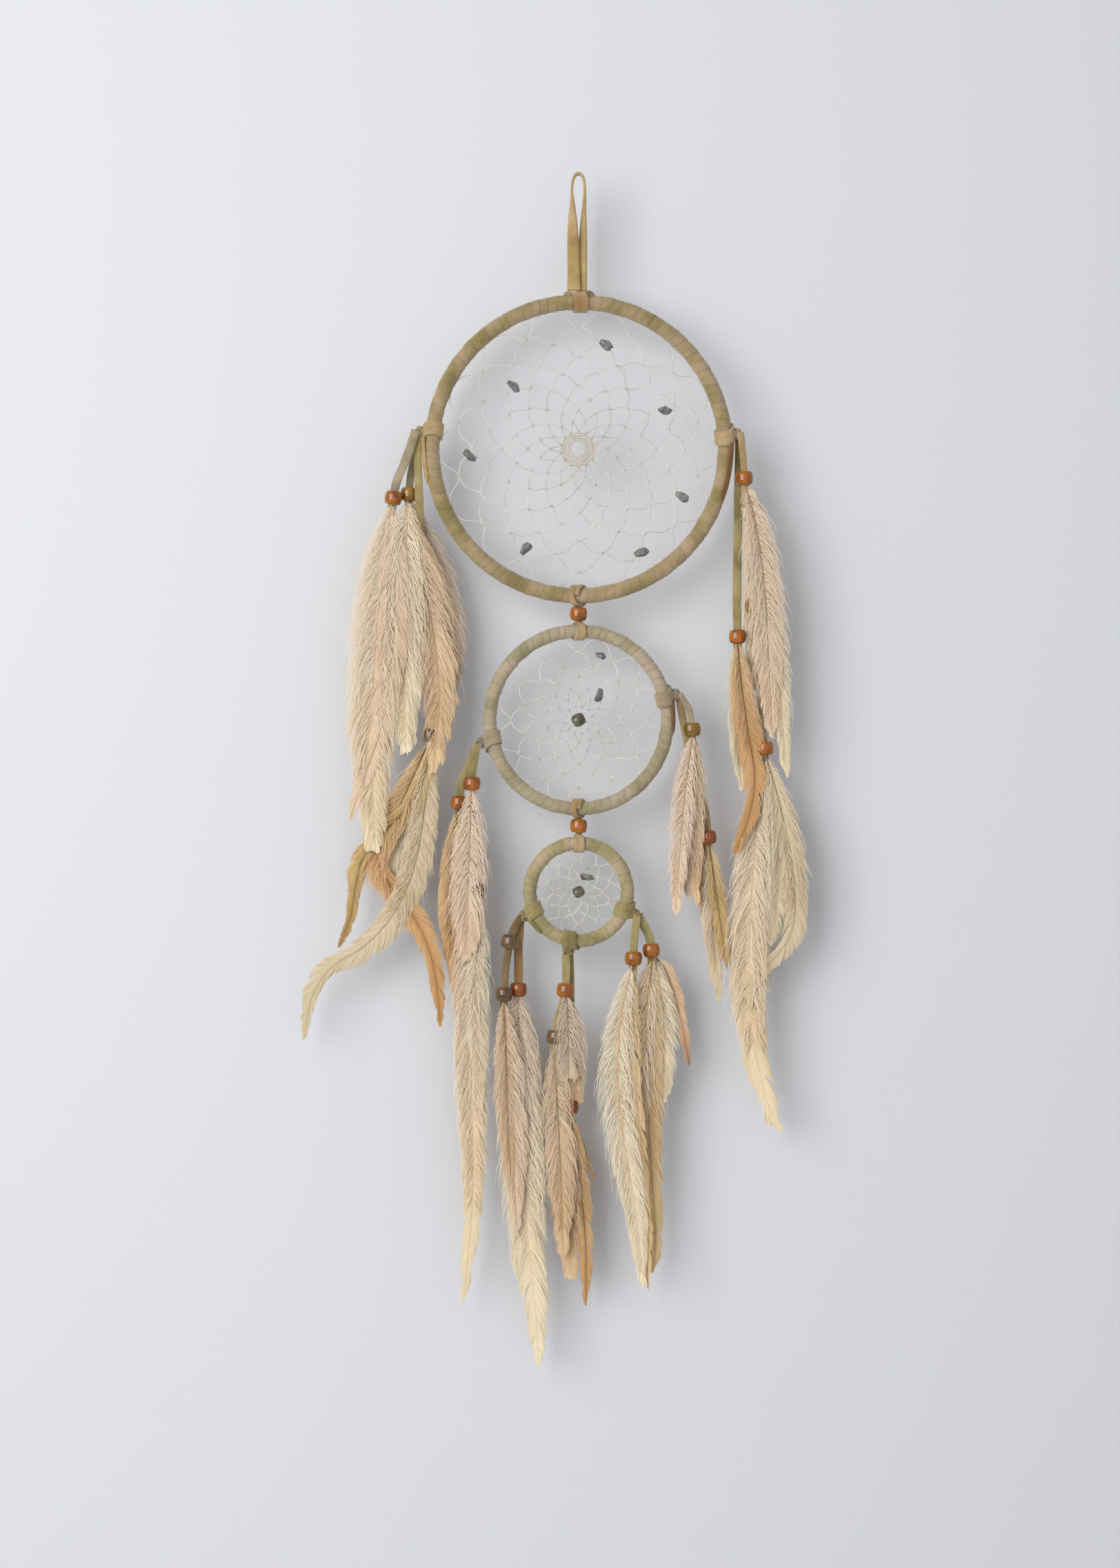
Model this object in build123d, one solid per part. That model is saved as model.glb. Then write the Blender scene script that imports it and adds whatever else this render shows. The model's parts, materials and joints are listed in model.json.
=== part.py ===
from build123d import *
import os
from math import cos, pi, radians, sin, tan

# A dream catcher of three rings in a row, hung by a lace loop.
# The origin is the inside top of the loop, where it rests on its nail.
# +Z is up, +X is to the right and +Y runs back to the wall. The rings lie in the XZ plane.
# All sizes are in millimetres.

RING_DIAMETERS = {"big": 160.0, "mid": 99.0, "small": 57.5}   # outside the suede wrap
ROD_RADII = {"big": 4.0, "mid": 3.5, "small": 3.5}            # hoop and wrap together
WRAP_THICKNESS = 2.0
HOOP_CLEARANCE = 0.05
HANG_LENGTH = 61.4             # origin to the top of the big ring
RING_GAP = 10.8                # between one ring and the next, filled by a bead
STEM_GAP = 0.8                 # between the two laces' ends inside that bead

LACE_RADIUS = 1.2              # a round lace of the same section as the flat suede one
LACE_THICKNESS = 1.4
TURNING_CLEARANCE = 0.35       # between a ring and a lace that turns round it
TIE_CLEARANCE = 0.05
HANG_WRAP_WIDTH = 9.0
TIE_WIDTH = 8.5
LINK_WRAP_WIDTH = 4.4

BEAD_RADIUS = 4.5
BEAD_LENGTH = 6.6
BEAD_HOLE_RADIUS = 2.0
BEAD_ROUNDING = 2.2

NET_THREAD = 0.9               # width of a web's thread
NET_DEPTH = 0.8
NET_CROWDING = 0.25            # how much closer the rounds lie near the middle
# Each web's stitches, rounds of loops, radius of the middle hole and angle of the first stitch
NETS = {
    "big": (14, 9, 9.0, 0),
    "mid": (12, 6, 7.0, 15),
    "small": (10, 4, 5.5, 0),
}
CENTRE_BEADS = {"mid": 4.0, "small": 3.4}

# Stone chips: place from the ring's centre (x, z), length, width, turn in degrees
CHIPS = {
    "big": [
        (-33.6, 32.5, 8.5, 5.0, -38),
        (-56.4, -3.6, 9.0, 4.6, -42),
        (-27.5, -51.8, 8.0, 6.0, 50),
        (14.3, 53.9, 8.5, 5.5, -35),
        (45.0, 20.0, 9.0, 4.8, -12),
        (53.2, -25.0, 8.5, 5.5, -20),
        (32.5, -53.5, 9.0, 5.0, 10),
    ],
    "mid": [
        (10.7, 12.9, 7.5, 5.0, 25),
        (11.4, 33.5, 6.5, 4.0, -20),
    ],
    "small": [
        (4.3, 7.5, 8.5, 4.2, -10),
    ],
}
CHIP_DEPTH = 4.2
CHIP_CHAMFER = 0.2             # part of a chip's width

# Where each tassel is tied on its ring, in degrees from +X
TIE_ANGLES = {
    "big": {"big_left": 173.5, "big_right": 5.4},
    "mid": {"mid_left": 193.5, "mid_right": 14.7},
    "small": {"small_left": 204.0, "small_bottom": 260.0, "small_right": -21.0},
}

# The hanging loop's route, from the ring up over the nail and down again
HANG_ROUTE = [
    (-2.4, -0.7, -59.6),
    (-3.0, -0.7, -24.0),
    (-3.9, 0, 1.2),
    (3.9, 0, 1.2),
    (2.3, 0.9, -24.0),
    (1.7, 0.9, -59.6),
]
NAIL_BEND = 3.5
BEND_SHARE = 0.45              # the part of a straight run that a bend may take up

# Each hanging lace's route, from its tie through its beads to its end among the quills
LACE_ROUTES = {
    "big_left_lace_a": [(-84.2, -3.2, -132), (-89.0, -3.0, -148), (-95.5, -2.6, -160), (-97.0, -2.6, -178)],
    "big_left_lace_b": [(-83.6, 2.4, -132), (-85.0, 3.0, -147), (-88.0, 3.2, -157), (-88.3, 3.2, -176)],
    "big_left_lace_c": [(-83.6, -0.4, -133), (-82.4, -0.8, -180), (-78.5, -0.4, -230), (-76.2, 0, -278),
                        (-76.8, 0, -303)],
    "big_right_lace_a": [(83.8, -2.6, -133), (84.6, -3.6, -143), (85.6, -4.0, -151), (85.9, -4.0, -172)],
    "big_right_lace_b": [(83.4, 2.9, -134), (82.6, 3.2, -180), (82.0, 3.0, -225), (82.8, 3.0, -253)],
    "big_right_lace_c": [(84.2, 0.2, -134), (86.0, 1.9, -156), (90.0, 1.9, -205), (91.5, 1.5, -245),
                         (96.2, 1.0, -288), (97.4, 1.0, -311)],
    "mid_left_lace_a": [(-52.4, -1.6, -294), (-55.4, -2.2, -308), (-55.2, -1.8, -332), (-51.8, -1.0, -359),
                        (-51.6, -1.0, -383)],
    "mid_left_lace_b": [(-52.4, 1.6, -294), (-57.5, 3.4, -306), (-62.0, 3.0, -316), (-62.6, 3.0, -337)],
    "mid_right_lace_a": [(52.2, -1.5, -268), (55.0, -2.2, -273), (58.6, -2.6, -278), (59.4, -2.6, -302)],
    "mid_right_lace_b": [(52.0, 1.5, -268), (55.5, 2.2, -292), (62.5, 2.2, -315), (67.0, 2.0, -333),
                         (67.8, 2.0, -356)],
    "small_left_lace_a": [(-30.2, -1.5, -384), (-34.5, -2.4, -391), (-36.4, -2.8, -401), (-38.4, -3.0, -415),
                          (-38.8, -3.0, -436)],
    "small_left_lace_b": [(-30.0, 1.5, -384), (-31.4, 2.6, -398), (-31.0, 2.8, -412), (-31.4, 2.8, -434)],
    "small_bottom_lace_a": [(-6.6, -1.5, -403), (-6.0, -2.6, -416), (-8.0, -2.8, -429), (-12.2, -2.8, -440),
                            (-12.8, -2.8, -458)],
    "small_bottom_lace_b": [(-4.6, 1.5, -403), (-3.6, 3.0, -420), (-4.4, 2.6, -450), (-4.0, 2.4, -476),
                            (-4.6, 2.4, -497)],
    "small_right_lace_a": [(30.2, -1.5, -382.5), (29.4, -2.2, -391), (28.3, -2.6, -399), (28.1, -2.6, -419)],
    "small_right_lace_b": [(31.0, 1.5, -382.5), (34.0, 2.4, -389), (37.8, 2.6, -395), (38.5, 2.6, -415)],
}

# Bead centres on those laces
BEADS = {
    "big_left": [(-96.1, -2.6, -167.0), (-88.1, 3.2, -164.5), (-76.4, 0, -290.0)],
    "big_right": [(85.7, -4.0, -157.0), (82.3, 3.0, -238.0), (90.6, 1.75, -222.0), (96.7, 1.0, -297.0)],
    "mid_left": [(-55.4, -2.1, -314.0), (-62.2, 3.0, -325.0), (-51.7, -1.0, -370.0)],
    "mid_right": [(59.0, -2.6, -286.5), (67.4, 2.0, -343.0)],
    "small_left": [(-35.8, -2.7, -397.0), (-31.2, 2.8, -421.0), (-38.6, -3.0, -424.0)],
    "small_bottom": [(-6.6, -2.7, -421.0), (-12.4, -2.8, -446.0), (-4.2, 2.4, -482.0)],
    "small_right": [(28.2, -2.6, -405.5), (38.1, 2.6, -401.5)],
}

# Feathers of each node: the bead that holds them, then the middle (x, z), tip (x, z) and width of each
FEATHERS = {
    "big_left_feathers": [
        (0, [(-103, -262, -107, -362, 26), (-95, -258, -97, -350, 28)]),
        (1, [(-85, -258, -86, -345, 26), (-81, -275, -93, -374, 20)]),
    ],
    "big_left_low_feathers": [
        (2, [(-88, -378, -142, -447, 16), (-93, -352, -124, -399, 10), (-92, -372, -72, -432, 12)]),
    ],
    "big_right_feathers": [
        (0, [(84, -222, 84, -270, 13), (92, -225, 92, -285, 18), (98, -220, 102, -280, 14)]),
    ],
    "big_right_low_feathers": [
        (1, [(86, -290, 82, -351, 11)]),
        (3, [(112, -364, 91, -430, 13), (91, -405, 104, -495, 13)]),
    ],
    "mid_left_feathers": [
        (0, [(-56, -360, -57, -405, 11)]),
        (1, [(-63.5, -390, -56, -481, 9), (-61, -385, -64, -440, 9)]),
        (2, [(-52, -470, -60, -584, 11), (-53, -440, -55, -500, 12)]),
    ],
    "mid_right_feathers": [
        (0, [(54, -325, 50.5, -378, 8), (65, -330, 66.5, -390, 12)]),
        (1, [(70.5, -384, 74, -428, 8)]),
    ],
    "small_left_feathers": [
        (1, [(-32, -505, -21.5, -618, 15), (-28, -490, -25, -560, 12)]),
        (2, [(-38, -465, -36, -520, 10)]),
    ],
    "small_bottom_feathers": [
        (1, [(-10, -500, -6, -560, 13)]),
        (2, [(-3, -530, 3, -586, 14), (2, -502, 8, -523, 5)]),
    ],
    "small_right_feathers": [
        (0, [(25, -488, 33, -575, 20), (34, -490, 40, -567, 14)]),
        (1, [(38, -460, 40, -520, 10), (50, -430, 57.5, -462, 4)]),
    ],
}
FEATHER_THICKNESS = 0.8
FEATHER_PITCH = 1.0
QUILL_WIDTH = 1.2
QUILL_DEPTH = 1.0              # how far a quill reaches into its bead
# A feather's half width at points along it, as parts of its length and of its greatest half width
FEATHER_SHAPE = [(0.12, 0.72), (0.35, 1.0), (0.62, 0.92), (0.86, 0.55)]

os.makedirs("parts", exist_ok=True)


def save(shape, node):
    export_step(shape, f"parts/{node}.step")


def group(solids):
    """Separate solids that share one node."""
    return solids[0] if len(solids) == 1 else Compound(children=solids)


def centre_radius(ring):
    return RING_DIAMETERS[ring] / 2 - ROD_RADII[ring]


def ring_centres():
    """Each ring's height: the first hangs below the loop and each other one below the last."""
    centres = {}
    top = -HANG_LENGTH
    for ring, diameter in RING_DIAMETERS.items():
        centres[ring] = top - diameter / 2
        top -= diameter + RING_GAP
    return centres


CENTRES = ring_centres()


def on_ring(ring, angle, radius):
    return Vector(radius * cos(radians(angle)), 0, CENTRES[ring] + radius * sin(radians(angle)))


def facing_front(shape, ring):
    """Moves a shape made about +Z to the ring's centre, with its axis along Y."""
    return Pos(0, 0, CENTRES[ring]) * Rot(90, 0, 0) * shape


def hoop(ring):
    inner = ROD_RADII[ring] - WRAP_THICKNESS
    return facing_front(Torus(centre_radius(ring), inner - HOOP_CLEARANCE), ring)


def wrap(ring):
    outside = Torus(centre_radius(ring), ROD_RADII[ring])
    inside = Torus(centre_radius(ring), ROD_RADII[ring] - WRAP_THICKNESS)
    return facing_front(outside - inside, ring)


def tie(ring, angle):
    """A lace wound tightly round the ring's rod, which follows the ring's curve."""
    bore = ROD_RADII[ring] + TIE_CLEARANCE
    spread = 360 * TIE_WIDTH / (2 * pi * centre_radius(ring))
    section = Plane.XZ * Pos(centre_radius(ring), 0) * (Circle(bore + LACE_THICKNESS) - Circle(bore))
    sleeve = revolve(section, Axis.Z, spread)
    return facing_front(Rot(0, 0, angle - spread / 2) * sleeve, ring)


def sleeve_across(z, bore, width):
    """A lace wound round a rod that runs along X at height z."""
    ring = Circle(bore + LACE_THICKNESS) - Circle(bore)
    return extrude(Plane((0, 0, z), x_dir=(0, 1, 0), z_dir=(1, 0, 0)) * ring, width / 2, both=True)


def inset(corners, distance):
    """Moves each side of a convex outline inwards and returns the new corners."""
    count = len(corners)
    middle = sum(corners, Vector()) / count
    lines = []
    for index in range(count):
        start = corners[index]
        along = (corners[(index + 1) % count] - start).normalized()
        inward = Vector(-along.Y, along.X)
        if inward.dot(middle - start) < 0:
            inward = -inward
        lines.append((start + inward * distance, along))
    moved = []
    for index in range(count):
        (p, a), (q, b) = lines[index - 1], lines[index]
        reach = ((q - p).X * b.Y - (q - p).Y * b.X) / (a.X * b.Y - a.Y * b.X)
        moved.append(p + a * reach)
    return moved


def net(ring):
    """A web of loops: each round's knots hang halfway along the loops of the round before."""
    stitches, rounds, hole, first = NETS[ring]
    rim = RING_DIAMETERS[ring] / 2 - 2 * ROD_RADII[ring]
    step = 2 * pi / stitches

    def knot(level, index):
        part = level / rounds
        radius = rim + (hole - rim) * part * (1 + NET_CROWDING * (1 - part))
        angle = radians(first) + step * (index + level / 2)
        return Vector(radius * cos(angle), radius * sin(angle))

    outline = []
    for index in range(stitches):
        here = knot(0, index)
        side = Vector(-here.Y, here.X).normalized() * NET_THREAD
        outline += [here - side, here + side, knot(1, index) * (1 + NET_THREAD / rim)]
    cells = []
    for level in range(rounds - 1):
        for index in range(stitches):
            outer = [knot(level, index), knot(level + 1, index)]
            inner = [knot(level + 2, index - 1), knot(level + 1, index - 1)]
            cell = outer + inner
            cells.append(Wire.make_polygon(inset(cell, NET_THREAD / 2)))
    middle = [knot(rounds, index) for index in range(stitches)]
    cells.append(Wire.make_polygon(inset(middle, NET_THREAD / 2)))
    face = Face(Wire.make_polygon(outline), cells)
    return facing_front(extrude(face, NET_DEPTH / 2, both=True), ring)


def chips(ring):
    """Tumbled stone chips, strung on the web."""
    solids = []
    for x, z, length, width, turn in CHIPS[ring]:
        chip = Box(length, CHIP_DEPTH, width)
        chip = chamfer(chip.edges(), width * CHIP_CHAMFER)
        solids.append(Pos(x, 0, CENTRES[ring] + z) * Rot(0, -turn, 0) * chip)
    return group(solids)


def bead():
    body = fillet(Cylinder(BEAD_RADIUS, BEAD_LENGTH).edges(), BEAD_ROUNDING)
    return body - Cylinder(BEAD_HOLE_RADIUS, BEAD_LENGTH)


def lace(route, node, bend=None):
    """A tube along straight runs joined by tangent arcs, each as large as its runs allow."""
    points = [Vector(*point) for point in route]
    bends = []
    for before, here, after in zip(points, points[1:], points[2:]):
        turn = radians((here - before).get_angle(after - here))
        shorter = min((here - before).length, (after - here).length)
        largest = BEND_SHARE * shorter / tan(turn / 2)
        bends.append(bend if bend and turn > 1 else largest)
    path = FilletPolyline(*points, radius=bends)
    tube = sweep(Plane(path @ 0, z_dir=path % 0) * Circle(LACE_RADIUS), path)
    expected = pi * LACE_RADIUS**2 * path.length
    print(node, "length", round(path.length, 1), "radii", [round(r, 1) for r in bends],
          "volume ratio", round(tube.volume / expected, 4))
    return tube


def feather(start, middle, tip, width, y):
    """A flat blade in the XZ plane about a curved shaft, with its narrow quill at the top."""
    control = middle * 2 - (start + tip) / 2

    def shaft(t):
        return start * (1 - t) ** 2 + control * (2 * t * (1 - t)) + tip * t**2

    def side(t, half):
        along = (control - start) * (1 - t) + (tip - control) * t
        return Vector(-along.Y, along.X).normalized() * half

    half = width / 2
    left = [start + side(0, QUILL_WIDTH / 2)]
    right = [start - side(0, QUILL_WIDTH / 2)]
    for t, share in FEATHER_SHAPE:
        left.append(shaft(t) + side(t, half * share))
        right.append(shaft(t) - side(t, half * share))
    edges = [Spline(*left, tip), Spline(tip, *reversed(right)), Line(right[0], left[0])]
    blade = extrude(make_face(edges), FEATHER_THICKNESS / 2, both=True)
    return Pos(0, y, 0) * Rot(90, 0, 0) * blade


def feathers(tassel, bunches):
    """Each bead's feathers lie in front of one another, with their quills in the bead."""
    solids = []
    for index, blades in bunches:
        x, y, z = BEADS[tassel][index]
        start = Vector(x, z - BEAD_LENGTH / 2 + QUILL_DEPTH)
        for layer, (mid_x, mid_z, tip_x, tip_z, width) in enumerate(blades):
            depth = y + (layer - (len(blades) - 1) / 2) * FEATHER_PITCH
            solids.append(feather(start, Vector(mid_x, mid_z), Vector(tip_x, tip_z), width, depth))
    return group(solids)


def link(upper, lower, name):
    """A lace round the upper ring's rod and through a bead, and the next ring's lace below it."""
    upper_rod = CENTRES[upper] - centre_radius(upper)
    lower_rod = CENTRES[lower] + centre_radius(lower)
    bore = ROD_RADII[upper] + TURNING_CLEARANCE
    tight = ROD_RADII[lower] + TIE_CLEARANCE
    middle = (CENTRES[upper] - RING_DIAMETERS[upper] / 2 + CENTRES[lower] + RING_DIAMETERS[lower] / 2) / 2
    stem_top = upper_rod - bore - LACE_THICKNESS / 2
    stem_foot = lower_rod + tight + LACE_THICKNESS / 2
    part_line = middle + STEM_GAP / 2
    upper_stem = Pos(0, 0, (stem_top + part_line) / 2) * Cylinder(LACE_RADIUS, stem_top - part_line)
    lower_top = part_line - STEM_GAP
    lower_stem = Pos(0, 0, (stem_foot + lower_top) / 2) * Cylinder(LACE_RADIUS, lower_top - stem_foot)
    save(sleeve_across(upper_rod, bore, LINK_WRAP_WIDTH) + upper_stem, f"{name}_link_lace")
    save(Pos(0, 0, middle) * bead(), f"{name}_link_bead")
    save(sleeve_across(lower_rod, tight, LINK_WRAP_WIDTH) + lower_stem, f"{lower}_hanger_lace")
    print(name, "link: hinge at", round(upper_rod, 2), "bead at", round(middle, 2), "rod", round(lower_rod, 2))


def main():
    save(lace(HANG_ROUTE, "hang_lace", NAIL_BEND), "hang_lace")
    top_rod = CENTRES["big"] + centre_radius("big")
    save(sleeve_across(top_rod, ROD_RADII["big"] + TURNING_CLEARANCE, HANG_WRAP_WIDTH), "hang_wrap")
    for ring in RING_DIAMETERS:
        save(hoop(ring), f"{ring}_hoop_core")
        save(wrap(ring), f"{ring}_hoop_wrap")
        save(net(ring), f"{ring}_web")
        save(chips(ring), f"{ring}_stones")
        save(group([tie(ring, angle) for angle in TIE_ANGLES[ring].values()]), f"{ring}_ties")
    for ring, radius in CENTRE_BEADS.items():
        save(Pos(0, 0, CENTRES[ring]) * Sphere(radius), f"{ring}_centre_bead")
    link("big", "mid", "upper")
    link("mid", "small", "lower")
    for node, route in LACE_ROUTES.items():
        save(lace(route, node), node)
    for tassel, places in BEADS.items():
        save(group([Pos(*place) * bead() for place in places]), f"{tassel}_beads")
    for node, bunches in FEATHERS.items():
        tassel = node.replace("_low", "").replace("_feathers", "")
        save(feathers(tassel, bunches), node)


main()
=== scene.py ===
"""A dream catcher of three rings in a row: suede-wound hoops, thread webs, laces, beads and feathers.

All sizes are in millimetres until a mesh is made. Every piece rides on the CAD body that it belongs to.
"""
import json
import math

import bmesh
import bpy
import numpy as np
from mathutils import Matrix, Vector


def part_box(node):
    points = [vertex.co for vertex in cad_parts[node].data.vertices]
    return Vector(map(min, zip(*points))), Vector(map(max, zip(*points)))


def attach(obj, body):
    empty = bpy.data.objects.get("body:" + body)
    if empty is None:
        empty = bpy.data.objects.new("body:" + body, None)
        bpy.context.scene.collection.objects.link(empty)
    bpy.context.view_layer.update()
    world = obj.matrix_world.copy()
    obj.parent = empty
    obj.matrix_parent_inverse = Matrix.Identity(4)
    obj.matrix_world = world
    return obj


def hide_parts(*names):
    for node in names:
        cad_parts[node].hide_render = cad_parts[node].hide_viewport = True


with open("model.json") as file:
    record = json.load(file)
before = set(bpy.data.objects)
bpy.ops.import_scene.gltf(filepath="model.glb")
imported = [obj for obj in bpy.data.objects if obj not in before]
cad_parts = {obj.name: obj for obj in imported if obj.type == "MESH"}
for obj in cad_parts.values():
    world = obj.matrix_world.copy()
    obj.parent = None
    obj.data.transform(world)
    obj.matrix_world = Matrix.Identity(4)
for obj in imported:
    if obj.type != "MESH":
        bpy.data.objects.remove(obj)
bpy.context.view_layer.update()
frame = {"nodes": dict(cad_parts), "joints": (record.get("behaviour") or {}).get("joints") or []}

MM = 0.001
FRONT = np.array((0.0, -1.0, 0.0))
RINGS = ("big", "mid", "small")

# ---- dimensions

CAMERA_CENTRE = (-9.6, -314.9)  # x and z of the middle of the view
CAMERA_VIEW_HEIGHT = 812.0
CAMERA_LENS = 70.0
SENSOR = 36.0
WALL_DISTANCE = 26.0
FLOOR_HEIGHT = -1150.0

LACE_THICKNESS = 1.4
BEAD_RADIUS = 4.5
BEAD_HOLE_RADIUS = 1.9
BEAD_LENGTH = 7.4
BARB_STEPS = 5
BARB_THICKNESS = 0.12
VANE_SPACING = 0.46
DOWN_SPACING = 0.42
DEPTH_LIMIT = 15.0  # the feathers are pressed flat within this depth
CLUMP_SHARE = 0.05  # how many barbs start a new clump
STRAY_SHARE = 0.15  # how many down barbs stand away from the rest
SHAFT_POINTS = 120
WRAP_PITCH = {"big": 4.6, "mid": 4.3, "small": 4.0}
WRAP_SINK = 0.3  # how far the hoop's winding lies inside the CAD ring's surface
WRAP_RISE = 0.4  # how far one turn stands over the next
WRAP_RIPPLE = 0.08
TIE_WIDTH = 3.9
TURN_POINTS = 34  # points along one turn of a lace round a rod
BAND_GAP = 0.35
LACE_LAP = 0.92  # share of a lace's width from one turn round a rod to the next
LACE_TWIST = math.radians(28)
THREAD_RADIUS = 0.3
LOOP_BOW = 0.07  # how far a loop of the web bows out, as a share of its width
WEB_JITTER = 0.022
WEB_WEAVE = 0.3  # how far the threads pass in front of and behind the web's plane
THREAD_BITE = 1.2  # how far the outer threads reach into the hoop's winding
HITCH_RADIUS = 0.48
HITCH_LENGTH = 1.2
HITCH_TURNS = 1.75
CHIP_DEPTH = 4.2
CHIP_CORNERS = 18
CHIP_WEAR = 0.35  # how far the edges of a stone chip are worn round

# stitches, rounds of loops, radius of the middle hole, angle of the first stitch
NETS = {"big": (14, 9, 9.0, 0), "mid": (12, 6, 7.0, 15), "small": (10, 4, 5.5, 0)}

# Stone chips on the webs: place from the ring's centre (x, z), length, width, turn in degrees
CHIPS = {
    "big": [
        (-33.6, 32.5, 8.5, 5, -38), (-56.4, -3.6, 9, 4.6, -42), (-27.5, -51.8, 8, 6, 50),
        (14.3, 53.9, 8.5, 5.5, -35), (45, 20, 9, 4.8, -12), (53.2, -25, 8.5, 5.5, -20),
        (32.5, -53.5, 9, 5, 10),
    ],
    "mid": [(10.7, 12.9, 8, 4.6, 76), (11.4, 33.5, 6.5, 4, -20)],
    "small": [(4.3, 7.5, 8.5, 4.2, -10)],
}

HANG_ROUTE = [
    (-2.4, -0.7, -59.6), (-3, -0.7, -24), (-3.9, 0, 1.2),
    (3.9, 0, 1.2), (2.3, 0.9, -24), (1.7, 0.9, -59.6),
]

# Each hanging lace: its route, its width, its tone and the heights of its beads with each bead's look
LACES = {
    "big_left": {
        "a": ([(-84.2, -3.2, -132), (-89, -3, -148), (-95.5, -2.6, -160), (-97, -2.6, -178)],
              4.6, "grey", {-167: "orange"}),
        "b": ([(-83.6, 2.4, -132), (-85, 3, -147), (-88, 3.2, -157), (-88.3, 3.2, -176)],
              4, "grey", {-164.5: "olive"}),
        "c": ([(-83.6, -0.4, -133), (-82.4, -0.8, -180), (-78.5, -0.4, -230), (-76.2, 0, -278),
               (-76.8, 0, -303)],
              4.2, "olive", {-290: "dark"}),
    },
    "big_right": {
        "a": ([(83.8, -2.6, -133), (84.6, -3.6, -143), (85.6, -4, -151), (85.9, -4, -172)],
              3.4, "tan", {-157: "orange"}),
        "b": ([(83.4, 2.9, -134), (82.6, 3.2, -180), (82, 3, -225), (82.8, 3, -253)],
              4.4, "olive", {-238: "orange"}),
        "c": ([(84.2, 0.2, -134), (86, 1.9, -156), (90, 1.9, -205), (91.5, 1.5, -245), (96.2, 1, -288),
               (97.4, 1, -311)],
              3.4, "grey", {-222: "olive", -297: "orange"}),
    },
    "mid_left": {
        "a": ([(-52.4, -1.6, -294), (-55.4, -2.2, -308), (-55.2, -1.8, -332), (-51.8, -1, -359),
               (-51.6, -1, -383)],
              4, "olive", {-314: "orange", -370: "dark"}),
        "b": ([(-52.4, 1.6, -294), (-57.5, 3.4, -306), (-62, 3, -316), (-62.6, 3, -337)],
              4, "olive", {-325: "orange"}),
    },
    "mid_right": {
        "a": ([(52.2, -1.5, -268), (55, -2.2, -273), (58.6, -2.6, -278), (59.4, -2.6, -302)],
              3.2, "grey", {-286.5: "olive"}),
        "b": ([(52, 1.5, -268), (55.5, 2.2, -292), (62.5, 2.2, -315), (67, 2, -333), (67.8, 2, -356)],
              4, "tan", {-343: "red"}),
    },
    "small_left": {
        # Lace a of small_left: its two beads take the dark bead colour as painted shade; they are orange
        # beads hanging in shadow.
        "a": ([(-30.2, -1.5, -384), (-34.5, -2.4, -391), (-36.4, -2.8, -401), (-38.4, -3, -415),
               (-38.8, -3, -436)],
              4, "dark", {-397: "dark", -424: "dark"}),
        "b": ([(-30, 1.5, -384), (-31.4, 2.6, -398), (-31, 2.8, -412), (-31.4, 2.8, -434)],
              4.6, "brown", {-421: "red"}),
    },
    "small_bottom": {
        "a": ([(-6.6, -1.5, -403), (-6, -2.6, -416), (-8, -2.8, -429), (-12.2, -2.8, -440),
               (-12.8, -2.8, -458)],
              4.2, "olive", {-421: "orange", -446: "dark"}),
        "b": ([(-4.6, 1.5, -403), (-3.6, 3, -420), (-4.4, 2.6, -450), (-4, 2.4, -476), (-4.6, 2.4, -497)],
              3.8, "olive", {-482: "red"}),
    },
    "small_right": {
        "a": ([(30.2, -1.5, -382.5), (29.4, -2.2, -391), (28.3, -2.6, -399), (28.1, -2.6, -419)],
              4, "olive", {-405.5: "orange"}),
        "b": ([(31, 1.5, -382.5), (34, 2.4, -389), (37.8, 2.6, -395), (38.5, 2.6, -415)],
              4.6, "olive", {-401.5: "orange"}),
    },
}

# Laces that run along a ring beside a tie: from and to in degrees on the ring, degrees round the rod,
# width and tone. The dark tones of big_right and mid_right are painted shade on laces lying in shadow.
BANDS = {
    "big_left": (176, 193, -25, 3.4, (1.05, 1.02, 0.8)),
    # big_right and mid_right: a lace lies here, and its dark tone is painted shade
    "big_right": (2, -20, -55, 3, (0.5, 0.34, 0.2)),
    "mid_right": (12, -9, -40, 2.6, (0.5, 0.36, 0.24)),
    "small_left": (210, 228, -30, 3, (0.9, 0.92, 0.7)),
}

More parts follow.
